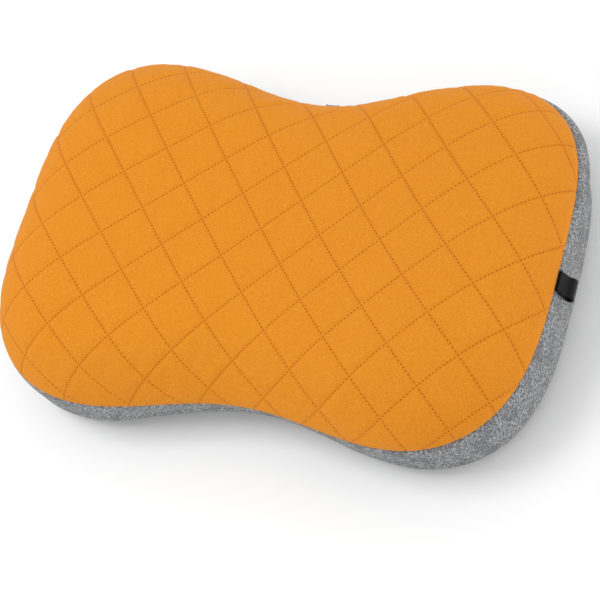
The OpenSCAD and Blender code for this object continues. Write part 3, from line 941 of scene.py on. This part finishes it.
zip_cloth = Finish("zip_tape_weave")
herring = zip_cloth.node("ShaderNodeTexWave", {"wave_type": "BANDS", "bands_direction": "X"}, {
    "Vector": zip_cloth.place((1, 1, 1), (0, 0, math.radians(38))), "Scale": 420.0, "Distortion": 0.5})
zip_cloth.surface(Base_Color=zip_cloth.mix(herring, srgb(44, 48, 52), srgb(78, 82, 88)), Roughness=0.85,
                  Normal=zip_cloth.bump(herring, 0.0002, 0.7))
for side, node in ((-1, "zip_tape_front"), (1, "zip_tape_rear")):
    tape = bmesh.new()
    bmesh.ops.create_grid(tape, x_segments=92, y_segments=10, size=0.5)
    for vert in tape.verts:
        x = vert.co.x * ZIP_LONG
        y = TAPE_NEAR + (vert.co.y + 0.5) * TAPE_WIDE
        wave = 0.10 * math.sin(x / 11.0 + side) * (y / TAPE_WIDE) + (0.14 if 2.6 < y < 4.0 else 0.0)
        vert.co = (x, side * y, TAPE_HEIGHT + 0.12 + wave)
    bmesh.ops.recalc_face_normals(tape, faces=tape.faces)
    tape.transform(to_metres)
    piece = new_piece(node + "_weave", tape, zip_cloth.material, "pillow", (node,))
    thicken(piece, 0.4 * MM, 0)

acetal = Finish("black_moulded_plastic")
haze = acetal.noise(acetal.place(), 60.0, 3.0)
grain = acetal.noise(acetal.place(), 1800.0, 2.0)
acetal.surface(Base_Color=acetal.mix(haze, srgb(22, 22, 24), srgb(34, 34, 37)),
               Roughness=haze * 0.15 + 0.34, Normal=acetal.bump(grain, 0.00004, 0.5))


def one_tooth(side):
    """A tooth: a small box on the tape's edge with rounded edges."""
    bm = bmesh.new()
    near, far = sorted((side * 0.85, side * 2.4))
    block(bm, (-0.9, near, TEETH_LOW), (0.9, far, 8.1), edge=0.3, segments=1)
    bm.transform(to_metres)
    return small_mesh(bm, "one_tooth")


for side, node in ((-1, "zip_teeth_front"), (1, "zip_teeth_rear")):
    half_row = (ZIP_LONG - 8) / 2
    tooth_x = np.arange(-half_row + 0.9, half_row - 1.5, TOOTH_PITCH)
    teeth = gather(one_tooth(side), [Matrix.Translation((x * MM, 0, 0)) for x in tooth_x])
    rail = bmesh.new()
    near, far = sorted((side * 0.8, side * 2.4))
    block(rail, (-half_row, near, 7.7), (half_row, far, 8.28), edge=0.12)
    rail.transform(to_metres)
    teeth.from_mesh(small_mesh(rail, "rail"))
    new_piece(node + "_moulded", teeth, acetal.material, "pillow", (node,))

stops = bmesh.new()
stop_at = ZIP_LONG / 2 - 3.6
block(stops, (stop_at, 0.8, TEETH_LOW), (stop_at + 3, 2.6, 8.3), edge=0.4)
block(stops, (stop_at, -2.6, TEETH_LOW), (stop_at + 3, -0.8, 8.3), edge=0.4)
block(stops, (-stop_at - 3, -2.6, TEETH_LOW), (-stop_at, 2.6, 8.3), edge=0.4)
stops.transform(to_metres)
new_piece("zip_stops_moulded", stops, acetal.material, "pillow", ("zip_end_stops",))

slider = bmesh.new()
for low in (SLIDER_LOW, 9.2):
    block(slider, (SLIDER_X - 4.5, -3.6, low), (SLIDER_X + 4.5, 3.6, low + 1.2), edge=0.5, segments=3)
block(slider, (SLIDER_X + 1, -0.55, SLIDER_LOW + 0.5), (SLIDER_X + 4, 0.55, 9.7), edge=0.2)
for low in (-3.6, 2.8):
    block(slider, (SLIDER_X - 4.5, low, SLIDER_LOW), (SLIDER_X + 4.5, low + 0.8, 8.0), edge=0.3)
for low in (-3.2, 2.2):
    block(slider, (SLIDER_X - 1.5, low, PULLER_HEIGHT - 1),
          (SLIDER_X + 1.5, low + 1.0, SLIDER_LOW + 0.5), edge=0.3)
turned(slider, [(0, -2.7), (0.65, -2.7), (0.65, 2.7), (0, 2.7)], closed=False, steps=24, edge=0.1)
pin_verts = [v for v in slider.verts if abs(v.co.x) < 1 and abs(v.co.z) < 3 and abs(v.co.y) < 1]
bmesh.ops.rotate(slider, matrix=Matrix.Rotation(math.pi / 2, 3, "X"), verts=pin_verts)
bmesh.ops.translate(slider, vec=(SLIDER_X, 0, PULLER_HEIGHT), verts=pin_verts)
slider.transform(to_metres)
new_piece("zip_slider_moulded", slider, acetal.material, "slider", ("zip_slider",))

puller = bmesh.new()
turned(puller, [(0.71, -1.9), (1.3, -1.9), (1.3, 1.9), (0.71, 1.9)], steps=32, edge=0.15)
bmesh.ops.rotate(puller, matrix=Matrix.Rotation(math.pi / 2, 3, "X"), verts=puller.verts)
bmesh.ops.translate(puller, vec=(SLIDER_X, 0, PULLER_HEIGHT), verts=puller.verts)
before = set(puller.verts)
turned(puller, [(1.4, -0.6), (3.4, -0.6), (3.4, 0.6), (2.9, 0.6), (2.7, 0.35), (2.0, 0.35), (1.8, 0.6),
                (1.4, 0.6)], steps=48, edge=0.1)
eye_verts = [v for v in puller.verts if v not in before]
bmesh.ops.translate(puller, vec=(SLIDER_X - PULLER_LONG, 0, PULLER_HEIGHT), verts=eye_verts)
block(puller, (SLIDER_X - PULLER_LONG + 2.6, -1.9, PULLER_HEIGHT - 0.6),
      (SLIDER_X - 1.0, 1.9, PULLER_HEIGHT + 0.6), edge=0.35)
for rib in range(6):
    x = SLIDER_X - PULLER_LONG + 5.5 + rib * 1.7
    block(puller, (x, -1.5, PULLER_HEIGHT - 0.8), (x + 0.8, 1.5, PULLER_HEIGHT), edge=0.2)
puller.transform(to_metres)
new_piece("zip_puller_moulded", puller, acetal.material, "puller", ("zip_puller",))

# Two rows of black stitching hold the tapes inside the slot's turned edges.
black_thread = Finish("black_thread")
ply = black_thread.noise(black_thread.place(), 2600.0, 1.0)
black_thread.surface(Base_Color=black_thread.mix(ply, srgb(30, 31, 33), srgb(70, 72, 75)), Roughness=0.6,
                     Normal=black_thread.bump(ply, 0.0001, 0.6))
tape_stitches = []
for row in (-STITCH_ROW, STITCH_ROW):
    x = np.arange(-94, 94, 3.0) * MM
    ends = [np.column_stack([x + shift, np.full(len(x), row * MM), arch(x + shift) + 0.03 * MM])
            for shift in (0.0, STITCH_LONG)]
    tape_stitches += list(frames_along(ends[0], ends[1], np.array([[0, 0, -1.0]])))
new_piece("zip_stitching", gather(one_stitch(), tape_stitches), black_thread.material, "pillow")

# ------------------------------------------------------------------------------
# Bladder: two films of pale coated polyurethane, welded together round a flange below the edge
# seam, with small puckers where the flat films are drawn in, and five ribs welded between them.
# ------------------------------------------------------------------------------

FILM_DEPTH = 7.0 * MM
WELD_OUT = 3.0 * MM
FILM_THICK = 0.45 * MM

film = Finish("pale_bladder_film")
film_haze = film.noise(film.place(), 14.0, 3.0)
film_grain = film.noise(film.place(), 900.0, 2.0)
film.surface(Base_Color=film.mix(film_haze, srgb(176, 190, 204), srgb(200, 211, 221)),
             Roughness=film_haze * 0.2 + 0.3, Coat_Weight=0.2,
             Normal=film.bump(film_grain, 0.0001, 0.3))


def top_ring(share, depth):
    """A ring of the upper film, at a share of the way out."""
    edge = inward(seam_inset + depth) * share
    swell = max(1 - share ** DOME_FLATNESS, 0) ** DOME_SHOULDER
    rim = seam_height - 0.4 * MM
    crown = CENTRE_HEIGHT + LOBE_LIFT * along(edge[:, 0]) - depth
    return np.column_stack([edge, rim + (crown - rim) * swell])


def weld_ring(drop):
    """The outer edge of the weld flange."""
    return np.column_stack([inward(WELD_OUT + seam_inset), seam_height - drop])


def puckered(rings, sign):
    """Small folds across the weld that fade away from it."""
    fold = np.sin(np.arange(AROUND) * 2 * np.pi / 10) + 0.6 * np.sin(np.arange(AROUND) * 2 * np.pi / 7.5)
    for number, ring in enumerate(rings[1:7], start=1):
        ring[:, 2] += sign * 0.12 * MM * fold * (1 - number / 7)
    return rings


film_shares = np.concatenate([1 - (np.arange(9) / 30) ** 1.6, np.linspace(0.82, 0, 20)])
top_rings = [weld_ring(0.4 * MM)] + [top_ring(share, FILM_DEPTH) for share in film_shares]
top_film = new_piece("bladder_film_upper", ringed_shell(puckered(top_rings, 1)), film.material, "pillow",
                     ("bladder_top_film",))
bottom_rings = [weld_ring(1.6 * MM)] + bowl_rings(FILM_DEPTH, 1.6 * MM, 10, 14, 16)
bottom_shell = ringed_shell(puckered(bottom_rings, -1))
open_hole(bottom_shell, 11.4 * MM)
bottom_film = new_piece("bladder_film_lower", bottom_shell, film.material, "pillow",
                        ("bladder_bottom_film",))
for piece, area in ((top_film, 0.15), (bottom_film, 0.18)):
    thicken(piece, FILM_THICK)


def refinish(names, material):
    """Gives kept solids a finish."""
    for name in names:
        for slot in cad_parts[name].material_slots:
            slot.material = material


refinish(["tie_rib_%d" % k for k in range(1, 6)], film.material)

# ------------------------------------------------------------------------------
# Two-stage valve in the rear waist: a grey moulded body welded into the bladder, a rubber seal in
# its rim, a hinged lid over the wide bore with a check flap under its inflation port, and a cap.
# ------------------------------------------------------------------------------

in_valve = (Matrix.Translation((0, VALVE_WALL, VALVE_HEIGHT)) @ Matrix.Rotation(-math.pi / 2, 4, "X")
            @ to_metres)
LID_HINGE = (-15.6, 4.4)
CAP_HINGE = (10.2, 7.2)
FLAP_HINGE = (-6.4, 3.1)

grey_plastic = Finish("grey_moulded_plastic")
flow = grey_plastic.noise(grey_plastic.place(), 70.0, 3.0)
spark = grey_plastic.noise(grey_plastic.place(), 2400.0, 2.0)
grey_plastic.surface(Base_Color=grey_plastic.mix(flow, srgb(112, 115, 119), srgb(128, 131, 135)),
                     Roughness=flow * 0.12 + 0.36, Normal=grey_plastic.bump(spark, 0.00004, 0.5))

body = bmesh.new()
turned(body, [(9, -9.5), (14.2, -9.5), (14.2, -6.6), (11, -6.6), (11, 2.0), (13.3, 2.0), (13.3, 3.2),
              (10.7, 3.2), (10.7, 2.2), (9.4, 2.2), (9.4, 3.2), (9, 3.2)], steps=96, edge=0.14)
for low in (-5.8, 4.2):
    block(body, (low, LID_HINGE[0] - 1.9, 2.0), (low + 1.6, LID_HINGE[0] + 4.1, 3.2), edge=0.2)
    block(body, (low, LID_HINGE[0] - 1.9, 2.0), (low + 1.6, LID_HINGE[0] + 2.9, 6.2), edge=0.5,
          segments=3)
turned(body, [(0, -5.0), (0.9, -5.0), (0.9, 5.0), (0, 5.0)], closed=False, steps=32, edge=0.15,
       across=LID_HINGE)
body.transform(in_valve)
new_piece("valve_body_moulded", body, grey_plastic.material, "pillow", ("valve_body",))

lid = bmesh.new()
turned(lid, [(4, 3.6), (7.2, 3.6), (7.2, -1.5), (8.0, -1.5), (8.5, 3.6), (12.2, 3.6), (12.2, 5.3),
             (11.7, 5.6), (11.1, 5.6), (10.9, 5.25), (8.1, 5.25), (7.6, 5.6), (5, 5.6), (5, 9.0),
             (4, 9.0)], steps=96, edge=0.15)
block(lid, (-3.9, LID_HINGE[0], 3.6), (3.9, LID_HINGE[0] + 6, 5.2), edge=0.3)
turned(lid, [(0.96, -3.9), (1.9, -3.9), (1.9, 3.9), (0.96, 3.9)], steps=40, edge=0.2, across=LID_HINGE)
for low in (-3.8, 2.6):
    block(lid, (low, CAP_HINGE[0] - 1.4, 5.1), (low + 1.2, CAP_HINGE[0] + 1.4, 8.4), edge=0.4,
          segments=3)
turned(lid, [(0, -3.2), (0.7, -3.2), (0.7, 3.2), (0, 3.2)], closed=False, steps=24, edge=0.1,
       across=CAP_HINGE)
lid.transform(in_valve)
new_piece("deflate_lid_moulded", lid, grey_plastic.material, "lid", ("deflate_lid",))

rubber = Finish("black_silicone_rubber")
dust = rubber.noise(rubber.place(), 500.0, 3.0)
rubber.surface(Base_Color=rubber.mix(dust, srgb(28, 28, 30), srgb(44, 44, 46)), Roughness=0.68,
               Normal=rubber.bump(dust, 0.00006, 0.5))
refinish(["valve_seal_ring"], rubber.material)
flap = bmesh.new()
turned(flap, [(0, 2.8), (5.6, 2.8), (5.6, 3.4), (4.6, 3.4), (4.4, 3.25), (0, 3.25)], closed=False,
       steps=64, edge=0.12)
block(flap, (-2, FLAP_HINGE[0], 2.85), (2, FLAP_HINGE[0] + 3, 3.35), edge=0.15)
turned(flap, [(0, -2), (0.35, -2), (0.35, 2), (0, 2)], closed=False, steps=20, edge=0.08,
       across=FLAP_HINGE)
flap.transform(in_valve)
new_piece("check_flap_rubber", flap, rubber.material, "flap", ("check_flap",))

cap_plastic = Finish("dark_moulded_plastic")
swirl = cap_plastic.noise(cap_plastic.place(), 80.0, 3.0)
cap_grain = cap_plastic.noise(cap_plastic.place(), 2200.0, 2.0)
cap_plastic.surface(Base_Color=cap_plastic.mix(swirl, srgb(44, 45, 48), srgb(58, 59, 62)),
                    Roughness=swirl * 0.12 + 0.34, Normal=cap_plastic.bump(cap_grain, 0.00004, 0.5))
cap = bmesh.new()
turned(cap, [(0, 9.3), (5.4, 9.3), (5.4, 5.9), (6.8, 5.9), (6.8, 9.6), (6.3, 10.2), (5.2, 10.4),
             (4.4, 10.1), (3.0, 9.95), (0, 9.9)], closed=False, steps=96, edge=0.12)
for k in range(24):
    heading = math.radians(15 * k)
    if abs(math.sin(heading / 2 - math.radians(45))) > 0.25:
        rib = bmesh.new()
        block(rib, (-0.28, 6.55, 6.2), (0.28, 6.95, 9.4), edge=0.12, segments=1)
        rib.transform(Matrix.Rotation(heading, 4, "Z"))
        cap.from_mesh(small_mesh(rib, "cap_rib"))
block(cap, (-2.3, 5.6, CAP_HINGE[1] - 0.7), (2.3, CAP_HINGE[0], CAP_HINGE[1] + 0.7), edge=0.25)
turned(cap, [(0.76, -2.3), (1.3, -2.3), (1.3, 2.3), (0.76, 2.3)], steps=32, edge=0.12, across=CAP_HINGE)
cap.transform(in_valve)
new_piece("inflate_cap_moulded", cap, cap_plastic.material, "cap", ("inflate_cap",))

# The cover's valve hole is bound with a rounded band of the same woven tape as the edge seam.
binding = bmesh.new()
turned(binding, [(12.45, -1.2), (12.9, -1.75), (13.9, -1.75), (14.35, -1.2), (14.4, 0), (14.35, 1.0),
                 (13.9, 1.55), (12.9, 1.55), (12.45, 1.0), (12.4, 0)], steps=120, edge=0.1)
binding.transform(in_valve)
new_piece("valve_hole_binding_tape", binding, woven_black.material, "pillow",
          ("valve_hole_binding",))
